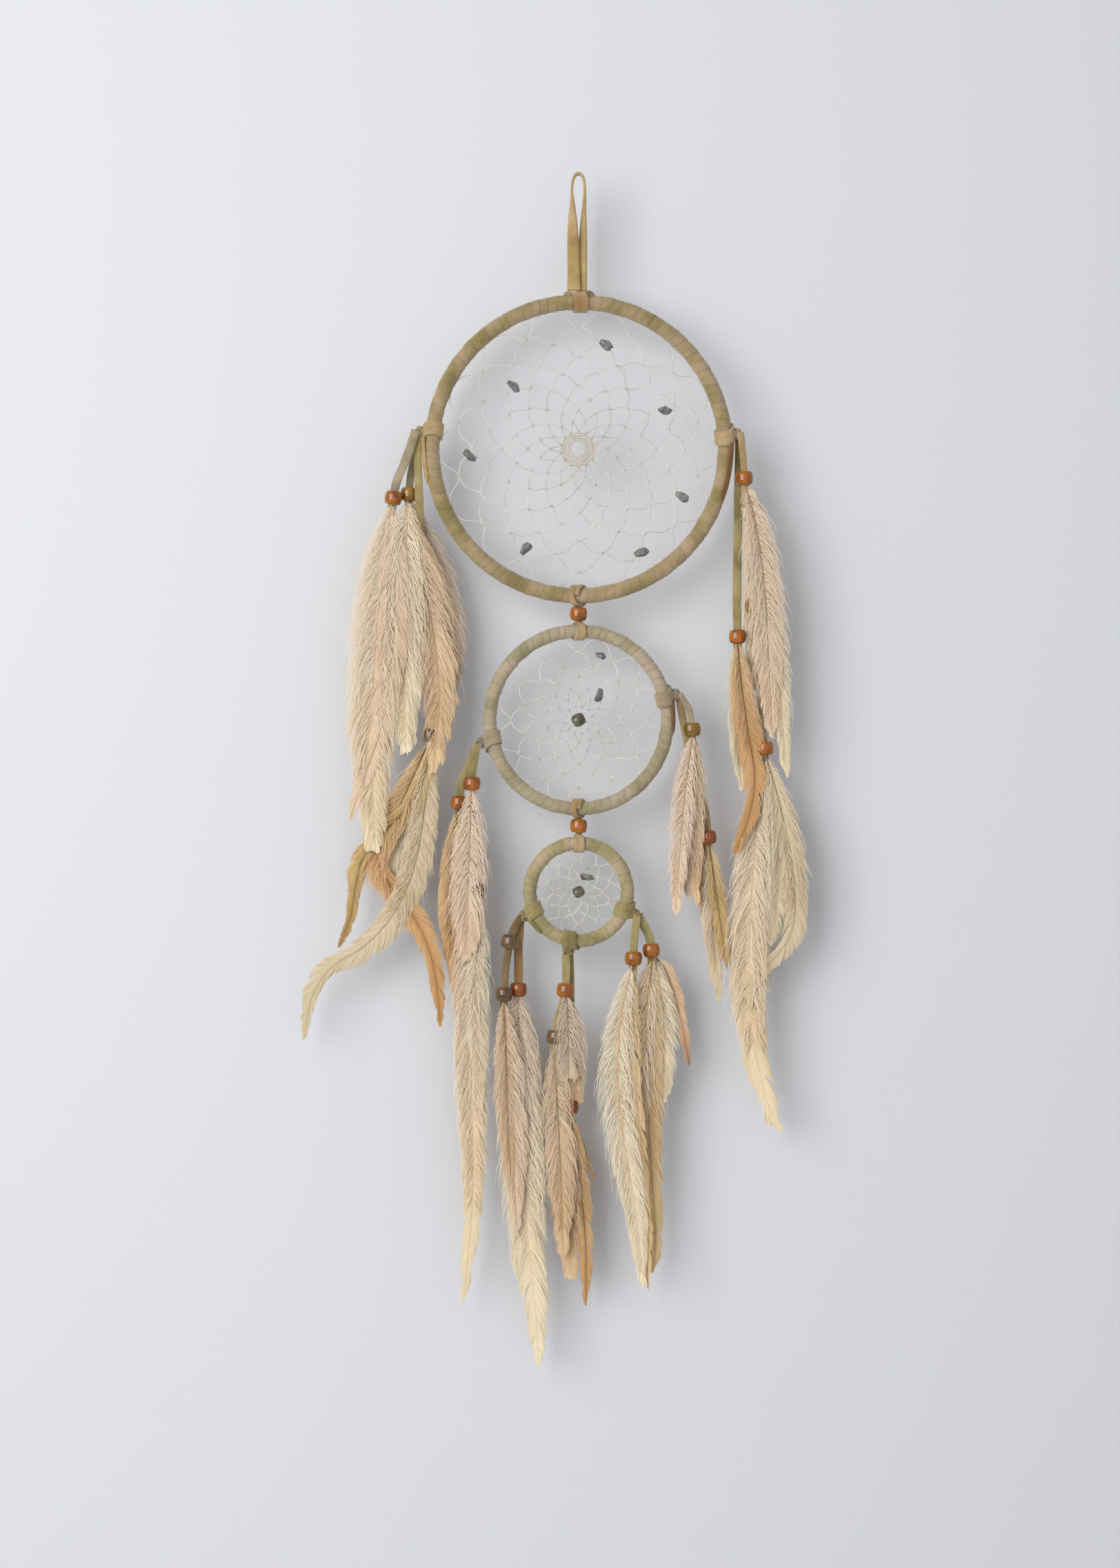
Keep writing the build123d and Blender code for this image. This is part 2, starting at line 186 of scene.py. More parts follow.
# Each feather: route of its shaft (x, z) from its bead to its tip, depth y (or the depths at its bead and
# past its base), width, colours and share of down
FEATHERS = {
    "big_left": [
        ([(-96.5, -169), (-101, -200), (-105, -245), (-107, -290), (-106, -325), (-105, -350)],
         -3.4, 27, "cream", 0.8),
        ([(-96, -169), (-95, -205), (-96, -245), (-102, -285), (-112, -315), (-118, -333)],
         (-2.2, -5), 17, "pink", 0.4),
        ([(-88.5, -167), (-89, -195), (-90, -230), (-90, -265), (-89, -298)], (1.6, -5.5), 24, "light", 0.85),
        ([(-88, -167), (-86.5, -185), (-80, -210), (-74.5, -240), (-72, -272), (-75, -308)],
         (3.2, -4.5), 22, "tan", 0.75),
        ([(-88, -167), (-80, -188), (-71, -213), (-66, -240), (-66, -268)], (4, 5.5), 17, "grey", 1),
        ([(-76.6, -293), (-79, -308), (-87, -326), (-100, -339), (-111, -352), (-115, -366), (-118, -383),
          (-124, -399.5)], -1.2, 11, "khaki", 0.25),
        ([(-76.8, -293), (-80, -330), (-85, -358), (-95, -381), (-110, -398), (-128, -410), (-138, -425),
          (-142.2, -447)], 0.4, 16, "green", 0.35),
        ([(-77.6, -293), (-92, -325), (-104, -350), (-97, -368), (-84, -386), (-77, -402), (-73.5, -420),
          (-71.5, -440)], 1.8, 16, "orange", 0.35),
        ([(-77, -293), (-84, -315), (-92, -340), (-99, -366)], 3, 15, "light", 0.9),
    ],
    "big_right": [
        ([(86, -159), (91.5, -182), (96, -215), (98, -250), (100, -290)], (-4, -5.6), 19, "pink", 0.85),
        ([(86, -159), (93, -190), (99, -225), (103, -255), (106, -290), (108, -312)], -2.8, 14, "light", 0.9),
        ([(86, -159), (90.5, -172), (92, -195), (91.5, -230), (91, -266)], (-3.8, 4.8), 14, "cream", 0.8),
        ([(82.3, -240), (84, -262), (88, -290), (91, -312), (88, -332), (80.5, -351.6)],
         (2.2, -2.2), 14, "orange", 0.3),
        ([(82.3, -240), (82.5, -265), (83, -290), (85, -318)], 3.8, 11, "light", 0.8),
        ([(97, -300), (104, -325), (110, -352), (112, -380), (108, -396), (98, -409), (90.5, -420),
          (88.5, -432)],
         -0.4, 14, "green", 0.4),
        ([(96, -300), (92, -340), (89, -385), (88.5, -420), (91, -450), (95, -468), (99, -483),
          (105.3, -495.5)],
         2.6, 22, "cream", 0.6),
        ([(97, -300), (102, -325), (104, -350), (103, -378), (99, -398)], 1, 17, "light", 0.85),
    ],
    "mid_left": [
        ([(-55.5, -316), (-56, -340), (-57, -370), (-57, -405)], -3.4, 19, "pink", 0.9),
        ([(-62.5, -327), (-66, -352), (-66.5, -385), (-62, -415), (-57, -446), (-53, -473)],
         2.4, 11, "orange", 0.35),
        ([(-62.5, -327), (-60, -360), (-58, -400), (-59, -438)], 3.8, 18, "tan", 0.85),
        ([(-52, -373), (-52.5, -400), (-52.5, -430), (-51.5, -460), (-50.5, -483)], -1.8, 13, "light", 0.8),
        ([(-52, -373), (-56, -420), (-55.5, -470), (-54.5, -515), (-56, -545), (-59.8, -583.5)],
         -0.2, 16, "cream", 0.6),
        ([(-52, -373), (-57, -400), (-57, -440), (-54, -505)], 1.2, 15, "pink", 0.7),
    ],
    "mid_right": [
        ([(59, -289), (56, -310), (53.5, -335), (51.5, -362), (50.5, -382)], -4, 13, "pink", 0.9),
        ([(59.5, -289), (60, -315), (60, -345), (61, -378)], -2.6, 11, "tan", 0.7),
        ([(59.5, -289), (60, -320), (62, -355), (66.5, -389)], 3.6, 11, "orange", 0.5),
        ([(59, -289), (58, -315), (57.5, -345), (58, -374)], -1.2, 15, "grey", 0.9),
        ([(67.5, -345), (70, -362), (73, -383), (75, -398), (77, -411)], 1.4, 9, "khaki", 0.3),
        ([(67.5, -345), (68.5, -370), (70.5, -400), (73.5, -428)], 2.8, 11, "cream", 0.6),
    ],
    "small_left": [
        ([(-31.3, -423), (-30, -460), (-29, -500), (-26.5, -545), (-22.5, -585), (-20.5, -616.5)],
         2.2, 22, "light", 0.55),
        ([(-31, -423), (-27, -455), (-26, -490), (-25, -530), (-25, -562)], 3.8, 15, "cream", 0.7),
        ([(-38.7, -426), (-37.5, -455), (-36.5, -490), (-35, -520)], -4.4, 12, "tan", 0.8),
        ([(-38.7, -426), (-36, -460), (-34, -500), (-32, -548)], -2.8, 16, "pink", 0.7),
        ([(-31.2, -423), (-31, -445), (-31, -470), (-31, -495)], 0.6, 22, "grey", 1),
    ],
    "small_bottom": [
        ([(-6.5, -423), (-5.5, -440), (-5, -466)], -4.4, 16, "grey", 1),
        ([(-12.6, -448), (-11, -480), (-9, -520), (-8, -560)], -2.8, 16, "tan", 0.7),
        ([(-4.3, -484), (0, -515), (3.5, -550), (3.8, -585.5)], 1.8, 10, "brown", 0.35),
        ([(-4.5, -484), (-6, -510), (-5.5, -540), (-4, -572)], 3.2, 17, "tan", 0.6),
        ([(-4.2, -484), (0, -498), (4.5, -511), (9, -521)], 4.4, 3.6, "khaki", 0.1),
        ([(-6.3, -423), (-2.5, -450), (-1, -480)], (-2, 1), 13, "tan", 1),
    ],
    "small_right": [
        ([(27.6, -408), (22.5, -432), (20, -462), (23, -497), (29, -532), (34, -575)],
         -4.2, 18, "light", 0.8),
        ([(28.1, -408), (26, -440), (26, -475), (30, -515), (34, -545), (36, -576)], -2.8, 14, "yellow", 0.5),
        ([(38.1, -404), (37, -440), (36, -480), (38, -520), (40, -548), (38.5, -568)],
         1.4, 16, "yellow", 0.5),
        ([(38, -404), (34, -430), (31, -470), (31, -505)], 2.8, 17, "pink", 0.85),
        ([(38.3, -404), (43, -425), (45, -450), (44, -480)], 3.4, 13, "light", 0.9),
        ([(38.6, -404), (45, -411), (50, -425), (54, -442), (57.5, -461)], 4.2, 8, "dusk", 0.3),
    ],
}


def linear(red, green, blue):
    """A display colour, 0 to 255, as the linear values that shaders take."""
    values = np.array((red, green, blue)) / 255
    return tuple(np.where(values <= 0.04045, values / 12.92, ((values + 0.055) / 1.055) ** 2.4))


# Down, vane, tip and shaft of each kind of feather
PLUMAGE = {
    "cream": ((251, 233, 204), (249, 226, 189), (252, 233, 193), (212, 180, 138)),
    "light": ((252, 239, 211), (250, 232, 199), (252, 236, 200), (218, 188, 148)),
    "tan": ((243, 217, 182), (231, 194, 150), (236, 204, 159), (160, 126, 88)),
    "pink": ((247, 226, 200), (240, 211, 178), (243, 217, 183), (182, 148, 112)),
    "orange": ((242, 211, 165), (225, 176, 119), (200, 147, 88), (130, 90, 54)),
    "brown": ((234, 203, 157), (223, 181, 126), (212, 159, 101), (124, 88, 54)),
    "khaki": ((238, 213, 163), (215, 181, 118), (188, 146, 88), (120, 98, 62)),
    "green": ((243, 225, 192), (234, 214, 178), (224, 207, 168), (154, 138, 94)),
    "yellow": ((245, 219, 175), (236, 203, 148), (240, 210, 155), (142, 120, 74)),
    "grey": ((232, 213, 188), (224, 201, 172), (230, 209, 181), (162, 142, 118)),
    "dusk": ((245, 217, 182), (236, 197, 156), (184, 131, 96), (112, 86, 70)),
}
SHAFT_DARKENING = {"brown": 0.55, "khaki": 0.55, "orange": 0.5, "dusk": 0.5, "tan": 0.35, "yellow": 0.4}

# ---- shapes


def new_object(name, data):
    made = bpy.data.objects.new(name, data)
    bpy.context.scene.collection.objects.link(made)
    return made


def unit(vectors):
    return vectors / np.maximum(np.linalg.norm(vectors, axis=-1, keepdims=True), 1e-9)


def tangents(path):
    return unit(np.gradient(path, axis=0))


class Shape:
    """Points, faces and a tint for each point, gathered before they become one mesh."""

    def __init__(self):
        self.points, self.faces, self.tints, self.count = [], [], [], 0

    def add(self, points, blocks, tint=1.0):
        """Adds closed solids that all turn their faces the same way, and turns those faces outwards."""
        points = np.asarray(points, float).reshape(-1, 3)
        volume = 0.0
        for block in blocks:
            corners = points[np.asarray(block)] - points[0]
            for k in range(1, corners.shape[1] - 1):
                volume += (corners[:, 0] * np.cross(corners[:, k], corners[:, k + 1])).sum()
        for block in blocks:
            block = np.asarray(block)[:, ::-1] if volume < 0 else np.asarray(block)
            self.faces += (block + self.count).tolist()
        self.points.append(points)
        self.tints.append(np.broadcast_to(np.asarray(tint, float), points.shape))
        self.count += len(points)

    def piece(self, name, body, slot, material, replaces, smooth=True):
        """Makes the mesh, and says which CAD body it rides on and which CAD nodes it replaces."""
        mesh = bpy.data.meshes.new(name)
        mesh.from_pydata((np.concatenate(self.points) * MM).tolist(), [], self.faces)
        tints = np.concatenate(self.tints)
        attribute = mesh.color_attributes.new("tint", "FLOAT_COLOR", "POINT")
        attribute.data.foreach_set("color", np.hstack([tints, np.ones((len(tints), 1))]).ravel())
        mesh.shade_smooth() if smooth else mesh.shade_flat()
        mesh.materials.append(material)
        piece = new_object(name, mesh)
        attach(piece, body)
        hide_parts(*replaces)
        return piece


def outline(count, squareness=2.0):
    """Points round a rounded outline from -1 to 1, a circle at squareness 2 and nearer a box above it."""
    angle = np.arange(count) / count * 2 * math.pi
    c, s = np.cos(angle), np.sin(angle)
    power = 2 / squareness
    return np.stack([np.sign(c) * np.abs(c) ** power, np.sign(s) * np.abs(s) ** power], -1)


ROUND = outline(7)
STRAP = outline(12, 5.0)


def sweep(path, across, out, half_width, half_depth, section=STRAP):
    """A closed solid that carries a section along a path, as wide and deep as it is told at each point."""
    rows, ring = len(path), len(section)
    half_width = np.broadcast_to(half_width, rows)[:, None, None]
    half_depth = np.broadcast_to(half_depth, rows)[:, None, None]
    points = (path[:, None] + across[:, None] * section[None, :, :1] * half_width
              + out[:, None] * section[None, :, 1:] * half_depth)
    row = np.arange(rows - 1)[:, None] * ring
    here = np.arange(ring)[None]
    after = (here + 1) % ring
    sides = np.stack([row + here, row + after, row + ring + after, row + ring + here], -1).reshape(-1, 4)
    start = np.arange(ring)[::-1][None]
    end = (np.arange(ring) + (rows - 1) * ring)[None]
    return points.reshape(-1, 3), [sides, start, end]


def ribbon_frames(path, facing, turn=0.0):
    """Unit vectors across a ribbon and out of its face, which looks along facing, turned by an angle."""
    along = tangents(path)
    facing = np.broadcast_to(facing, path.shape)
    out = unit(facing - along * (facing * along).sum(-1, keepdims=True))
    across = np.cross(along, out)
    turn = np.broadcast_to(turn, len(path))[:, None]
    return across * np.cos(turn) + out * np.sin(turn), out * np.cos(turn) - across * np.sin(turn)


def even(line, count):
    """The same line with evenly spaced points."""
    steps = np.linalg.norm(np.diff(line, axis=0), axis=1)
    reach = np.concatenate([[0], np.cumsum(steps)])
    places = np.linspace(0, reach[-1], count)
    return np.stack([np.interp(places, reach, line[:, axis]) for axis in range(3)], -1)


def length_of(line):
    return np.linalg.norm(np.diff(line, axis=0), axis=1).sum()


def through(points, count):
    """A smooth line through points."""
    points = np.asarray(points, float)
    ends = np.concatenate([[2 * points[0] - points[1]], points, [2 * points[-1] - points[-2]]])
    t = np.linspace(0, 1, 12, endpoint=False)[:, None]
    runs = []
    for a, b, c, d in zip(ends, ends[1:], ends[2:], ends[3:]):
        runs.append(0.5 * (2 * b + (c - a) * t + (2 * a - 5 * b + 4 * c - d) * t**2
                           + (3 * b - a - 3 * c + d) * t**3))
    return even(np.concatenate([*runs, points[-1:]]), count)


def route_line(name, route):
    """The smooth line that a cord follows: a NURBS spline whose control points are the route's."""
    curve = bpy.data.curves.new(name, "CURVE")
    curve.dimensions = "3D"
    curve.resolution_u = 24
    spline = curve.splines.new("NURBS")
    spline.points.add(len(route) - 1)
    for point, place in zip(spline.points, route):
        point.co = (*(Vector(place) * MM), 1)
    spline.order_u = 3
    spline.use_endpoint_u = True
    holder = bpy.data.objects.new(name, curve)
    mesh = bpy.data.meshes.new_from_object(holder)
    line = np.array([vertex.co for vertex in mesh.vertices]) / MM
    bpy.data.meshes.remove(mesh)
    bpy.data.objects.remove(holder)
    bpy.data.curves.remove(curve)
    return even(line, max(24, int(length_of(line) / 1.2)))


def wander(rng, count, knots):
    """A smooth random wave from -1 to 1."""
    return np.interp(np.linspace(0, knots - 1, count), np.arange(knots), rng.uniform(-1, 1, knots))


# ---- materials


class Surface:
    """A Principled material with short ways to add its nodes."""

    def __init__(self, name, roughness, **sockets):
        self.material = bpy.data.materials.new(name)
        self.material.use_nodes = True
        self.tree = self.material.node_tree
        self.shader = self.tree.nodes["Principled BSDF"]
        self.shader.inputs["Roughness"].default_value = roughness
        for socket, value in sockets.items():
            self.shader.inputs[socket.replace("_", " ")].default_value = value
        self.place = self.node("ShaderNodeTexCoord").outputs["Object"]

    def node(self, kind, **values):
        node = self.tree.nodes.new(kind)
        for key, value in values.items():
            setattr(node, key, value)
        return node

    def link(self, source, target):
        self.tree.links.new(source, target)

    def noise(self, size, detail=3.0, stretch=None):
        """Noise from 0 to 1 whose features are about size millimetres across."""
        noise = self.node("ShaderNodeTexNoise")
        noise.inputs["Scale"].default_value = 1 / (size * MM)
        noise.inputs["Detail"].default_value = detail
        place = self.place
        if stretch:
            mapping = self.node("ShaderNodeMapping")
            mapping.inputs["Scale"].default_value = stretch
            self.link(place, mapping.inputs["Vector"])
            place = mapping.outputs["Vector"]
        self.link(place, noise.inputs["Vector"])
        return noise.outputs["Fac"]

    def ramp(self, factor, stops):
        ramp = self.node("ShaderNodeValToRGB")
        elements = ramp.color_ramp.elements
        while len(elements) < len(stops):
            elements.new(0.5)
        for element, (position, colour) in zip(elements, stops):
            element.position = position
            element.color = (*colour, 1)
        self.link(factor, ramp.inputs["Fac"])
        return ramp.outputs["Color"]

    def multiply(self, first, second, factor=1.0):
        mix = self.node("ShaderNodeMix", data_type="RGBA", blend_type="MULTIPLY")
        mix.inputs["Factor"].default_value = factor
        self.link(first, mix.inputs[6])
        self.link(second, mix.inputs[7])
        return mix.outputs[2]

    def colour(self, source):
        self.link(source, self.shader.inputs["Base Color"])

    def tinted(self, source):
        """Colours the surface, shaded by the tint of each point."""
        tint = self.node("ShaderNodeAttribute", attribute_name="tint").outputs["Color"]
        tone = self.multiply(source, tint)
        self.colour(tone)
        return tone

    def bump(self, height, distance, strength=1.0):
        bump = self.node("ShaderNodeBump")
        bump.inputs["Distance"].default_value = distance * MM
        bump.inputs["Strength"].default_value = strength
        self.link(height, bump.inputs["Height"])
        self.link(bump.outputs["Normal"], self.shader.inputs["Normal"])

    def blend(self, other):
        """Puts another shader over this one and returns the socket for its share."""
        both = self.node("ShaderNodeMixShader")
        self.link(self.shader.outputs["BSDF"], both.inputs[1])
        self.link(other.outputs["BSDF"], both.inputs[2])
        self.link(both.outputs["Shader"], self.tree.nodes["Material Output"].inputs["Surface"])
        return both.inputs["Fac"]


def suede(name, dark, middle, light):
    """Napped suede: patches of tone, a fine mottled nap and a soft sheen."""
    surface = Surface(name, 0.92, Sheen_Weight=0.35, Sheen_Roughness=0.6, Sheen_Tint=(1.0, 0.95, 0.85, 1),
                      Specular_IOR_Level=0.15)
    patches = surface.ramp(surface.noise(14, 4.0), [(0.34, dark), (0.5, middle), (0.66, light)])
    nap = surface.ramp(surface.noise(0.5, 6.0), [(0.3, (0.72, 0.72, 0.72)), (0.7, (1.14, 1.12, 1.08))])
    surface.tinted(surface.multiply(patches, nap, 0.8))
    surface.bump(surface.noise(0.4, 8.0), 0.18, 0.8)
    return surface.material


def thread():
    """Waxed cotton thread, nearly white."""
    surface = Surface("web_thread", 0.6, Sheen_Weight=0.2)
    tone = surface.ramp(surface.noise(6), [(0.3, linear(196, 188, 172)), (0.7, linear(228, 222, 210))])
    surface.tinted(tone)
    surface.bump(surface.noise(0.25, 4.0), 0.08)
    return surface.material


def stone():
    """Tumbled grey stone with paler veins."""
    surface = Surface("stone_chip", 0.38, Coat_Weight=0.15)
    mottle = surface.ramp(surface.noise(2.6, 8.0), [
        (0.3, linear(78, 80, 78)), (0.48, linear(112, 112, 108)), (0.6, linear(134, 132, 126)),
        (0.72, linear(176, 172, 162)),
    ])
    surface.tinted(mottle)
    surface.bump(surface.noise(1.2, 6.0), 0.12)
    return surface.material


def glass_bead(name, dark, light):
    """Cloudy, glossy bead with a streaked colour."""
    surface = Surface(name, 0.14, Coat_Weight=0.4, Coat_Roughness=0.05)
    streaks = surface.ramp(surface.noise(3.2, 4.0, (1.0, 1.0, 0.45)), [(0.34, dark), (0.66, light)])
    surface.tinted(streaks)
    surface.bump(surface.noise(2.0), 0.05)
    return surface.material


def plumage():
    """Feather barbs: the tint of each point, faint streaks and light that passes through."""
    surface = Surface("feather_barbs", 0.78, Sheen_Weight=0.25, Specular_IOR_Level=0.25)
    streaks = surface.ramp(surface.noise(2.2, 3.0, (1.0, 1.0, 0.3)),
                           [(0.3, (0.94, 0.93, 0.92)), (0.7, (1.0, 1.0, 1.0))])
    through_light = surface.node("ShaderNodeBsdfTranslucent")
    surface.link(surface.tinted(streaks), through_light.inputs["Color"])
    surface.blend(through_light).default_value = 0.12
    return surface.material


def wire():
    """Drawn steel wire, hidden inside the suede."""
    surface = Surface("hoop_wire", 0.35, Metallic=1.0)
    surface.colour(surface.ramp(surface.noise(5), [(0.3, (0.4, 0.4, 0.42)), (0.7, (0.6, 0.6, 0.6))]))
    return surface.material


def material_set(make, prefix, tones):
    """One material for each name, from its display colours."""
    return {name: make(prefix + name, *(linear(*tone) for tone in row)) for name, row in tones.items()}


SUEDE = material_set(suede, "suede_", {
    "tan": ((156, 128, 86), (175, 149, 105), (188, 164, 126)),
    "olive": ((130, 118, 70), (156, 141, 92), (175, 158, 111)),
    "grey": ((132, 120, 98), (156, 141, 115), (175, 160, 133)),
    "brown": ((128, 98, 60), (154, 120, 79), (171, 137, 96)),
    "dark": ((92, 73, 43), (118, 98, 64), (137, 115, 79)),
})
WRAP_SUEDE = material_set(suede, "wrap_", {
    "big": ((141, 126, 79), (165, 145, 105), (180, 154, 126)),
    "mid": ((145, 139, 102), (169, 156, 126), (186, 167, 143)),
    "small": ((141, 133, 85), (175, 160, 120), (192, 169, 139)),
})
BEAD_GLASS = material_set(glass_bead, "bead_", {
    "orange": ((114, 60, 2), (178, 102, 10)),
    "red": ((112, 52, 12), (168, 84, 26)),
    "olive": ((106, 80, 12), (162, 114, 26)),
    # dark: a dark bead colour, which on the two beads of small_left lace a is painted shade over orange beads
    # in shadow
    "dark": ((74, 54, 32), (122, 90, 56)),
    "centre": ((58, 58, 40), (104, 102, 76)),
})
THREAD = thread()
STONE = stone()
PLUMAGE_MATERIAL = plumage()
WIRE = wire()

# ---- rings


def box_of(node):
    """The lowest and highest corners of a CAD node, in millimetres."""
    return [np.array(corner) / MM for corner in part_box(node)]


def ring_size(ring):
    """Centre height, radius of the rod's middle line and the rod's own radius, from the CAD ring."""
    low, high = box_of(f"{ring}_hoop_wrap")
    rod = (high[1] - low[1]) / 2
    return (low[2] + high[2]) / 2, (high[0] - low[0]) / 2 - rod, rod


def on_rod(ring, along, around, distance):
    """A point beside the ring's rod: along is its angle on the ring, around its angle on the rod."""
    height, radius, _ = ring_size(ring)
    along, around, distance = np.broadcast_arrays(along, around, distance)
    reach = radius + distance * np.cos(around)
    return np.stack([reach * np.cos(along), distance * np.sin(around), height + reach * np.sin(along)], -1)


def winding_profile(share):
    """How high one turn of suede stands over the edge of the next, across its width."""
    return 0.7 * (1 - np.abs(2 * share - 1) ** 5) + 0.3 * (1 - share)


def hoop_winding(ring, rng):
    """Suede lace wound round the hoop, each turn lying on the edge of the one before."""
    _, radius, rod = ring_size(ring)
    turns = round(2 * math.pi * radius / WRAP_PITCH[ring])
    shares = np.array([0.0, 0.05, 0.14, 0.3, 0.48, 0.66, 0.82, 0.92, 0.98])
    around = 28
    turn = np.repeat(np.arange(turns), len(shares))[:, None]
    share = np.tile(shares, turns)[:, None]
    lead = np.arange(around)[None] / around
    tones = rng.uniform(0.92, 1.07, turns)
    heights = rng.uniform(-0.1, 0.1, turns)
    shifts = rng.uniform(-0.2, 0.2, turns)

    def along_winding(values, place):
        first = np.floor(place).astype(int)
        blend = (place - first) ** 2 * (3 - 2 * (place - first))
        return values[first % turns] * (1 - blend) + values[(first + 1) % turns] * blend

    place = turn + share - lead
    winding = turn - lead
    angle = (place + along_winding(shifts, place)) * 2 * math.pi / turns
    depth = rod - WRAP_SINK + WRAP_RISE * winding_profile(share) + along_winding(heights, winding)
    depth = depth + WRAP_RIPPLE * np.sin(place * 2.3 + lead * 19)
    points = on_rod(ring, angle, lead * 2 * math.pi, depth)
    # Painted shade: each turn is darker towards its edges, most where it dips under the next turn, in the
    # crease between turns; the tone also differs at random from turn to turn.
    tint = along_winding(tones, winding)[..., None] * (0.88 + 0.12 * winding_profile(share))[..., None]
    total = len(shares) * turns
    index = np.arange(total * around).reshape(total, around)
    after = np.concatenate([index[:, 1:], np.roll(index[:, :1], len(shares), axis=0)], axis=1)
    quads = np.stack([index, np.roll(index, -1, 0), np.roll(after, -1, 0), after], -1).reshape(-1, 4)
    shape = Shape()
    shape.add(points, [quads], np.broadcast_to(tint, points.shape).reshape(-1, 3))
    shape.piece(f"{ring}_winding", f"{ring}_hoop", "suede_wrap", WRAP_SUEDE[ring], [f"{ring}_hoop_wrap"])


def wound_lace(shape, ring, angle, turns, width, clearance, tone, lean):
    """Turns of flat lace round the ring's rod, side by side, with their ends tucked under."""
    _, radius, rod = ring_size(ring)
    part = np.linspace(0, 1, int(TURN_POINTS * turns))
    around = part * 2 * math.pi * turns + math.pi / 2
    along = angle + (part - 0.5) * (turns * width * LACE_LAP) / radius + lean * np.sin(around)
    tuck = np.minimum(1, np.minimum(part, 1 - part) * turns * 6)
    distance = rod + clearance + LACE_THICKNESS / 2 * (0.4 + 0.6 * tuck)
    path = on_rod(ring, along, around, distance)
    out = unit(path - on_rod(ring, along, around, distance * 0))
    across = np.cross(tangents(path), out)
    half_width = width / 2 * (0.75 + 0.25 * tuck)
    shape.add(*sweep(path, unit(across), out, half_width, LACE_THICKNESS / 2), tone)


def band(shape, ring, start, end, around, width, tone):
    """A lace that lies along the ring's rod from one angle on the ring to another."""
    _, _, rod = ring_size(ring)
    part = np.linspace(0, 1, 30)
    angle = np.radians(start + (end - start) * part)
    path = on_rod(ring, angle, math.radians(around), rod + BAND_GAP + 0.9 * (1 - part) ** 4)
    out = unit(path - on_rod(ring, angle, math.radians(around), 0.0))
    across = unit(np.cross(tangents(path), out))
    half_width = width / 2 * np.minimum(1, (1.02 - part) * 6)
    shape.add(*sweep(path, across, out, half_width, LACE_THICKNESS / 2), tone)


def knot(shape, centre, size, turn, width, tone):
    """An overhand knot pulled tight in a flat lace."""
    t = np.linspace(0, 2 * math.pi, 72)
    loops = np.stack([np.sin(t) + 2 * np.sin(2 * t), -1.15 * np.sin(3 * t), np.cos(t) - 2 * np.cos(2 * t)])
    spin = np.array(Matrix.Rotation(turn, 3, "Y"))
    path = np.asarray(centre) + (loops.T * size / 6) @ spin.T
    out = unit(path - np.asarray(centre))
    across = unit(np.cross(tangents(path), out))
    out = np.cross(across, tangents(path))
    shape.add(*sweep(path, across, out, width / 2, LACE_THICKNESS / 2), tone)


def add_thread(shape, path, facing, radius, tone):
    """A round thread along a path."""
    across, out = ribbon_frames(path, facing)
    shape.add(*sweep(path, across, out, radius, radius, ROUND), tone)


def web(ring, rng):
    """The net: each round's loops hang from the middles of the loops before, tied with a half hitch."""
    height, radius, rod = ring_size(ring)
    stitches, rounds, hole, first = NETS[ring]
    rim = radius - rod
    step = 2 * math.pi / stitches
    jitter = rng.uniform(-1, 1, (rounds + 2, stitches, 2))

    def place(level, index):
        part = level / rounds
        shift = jitter[level, index % stitches] * (0.0 if level == 0 else WEB_JITTER)
        reach = (rim + (hole - rim) * (1.25 * part - 0.25 * part**2)) * (1 + shift[0] * 0.5)
        angle = math.radians(first) + step * (index + level / 2 + shift[1])
        return np.array((reach * math.cos(angle), 0.0, height + reach * math.sin(angle)))

    shape = Shape()
    middle = np.array((0.0, 0.0, height))
    for level in range(rounds):
        for index in range(stitches):
            start, foot, end = place(level, index), place(level + 1, index), place(level, index + 1)
            if level == 0:
                start, end = (middle + (p - middle) * (1 + THREAD_BITE / rim) for p in (start, end))
            bow = unit(foot - middle) * np.linalg.norm(end - start) * LOOP_BOW
            left, right = (start + foot) / 2 + bow, (foot + end) / 2 + bow
            path = through([start, left, foot - bow * 0.25, right, end], 22)
            sway = WEB_WEAVE if level % 2 else -WEB_WEAVE
            path[:, 1] += sway * np.sin(np.linspace(0, 2 * math.pi, len(path)))
            shade = (0.92 + 0.16 * rng.random()) * (1 - 0.12 * (level / rounds) ** 2)
            add_thread(shape, path, FRONT, THREAD_RADIUS, shade)
            turn = np.linspace(0, 2 * math.pi * HITCH_TURNS, 20)[:, None]
            along = unit(foot - start)
            side = np.cross(along, FRONT)
            hitch = (foot + along * (turn / turn[-1] - 0.5) * HITCH_LENGTH
                     + side * np.cos(turn) * HITCH_RADIUS + FRONT * np.sin(turn) * HITCH_RADIUS)
            add_thread(shape, hitch, FRONT + along, THREAD_RADIUS * 0.85, shade)
    if ring == "big":
        last = [place(rounds, index) for index in range(stitches)]
        turns = 5
        swirl = [
            middle + (last[i % stitches] - middle) * (1 - 0.62 * i / (stitches * turns))
            * (0.96 + 0.08 * rng.random()) + FRONT * rng.uniform(-0.5, 0.5)
            for i in range(stitches * turns)
        ]
        add_thread(shape, through(swirl, stitches * turns * 6), FRONT, THREAD_RADIUS, linear(236, 226, 206))
    else:
        for index in range(0, stitches, 2):
            path = through([place(rounds, index), middle, place(rounds, index + stitches // 2)], 16)
            path[:, 1] += rng.uniform(-0.2, 0.2)
            add_thread(shape, path, FRONT, THREAD_RADIUS * 0.8, 1.0)
    shape.piece(f"{ring}_net", f"{ring}_hoop", "web_thread", THREAD, [f"{ring}_web"])


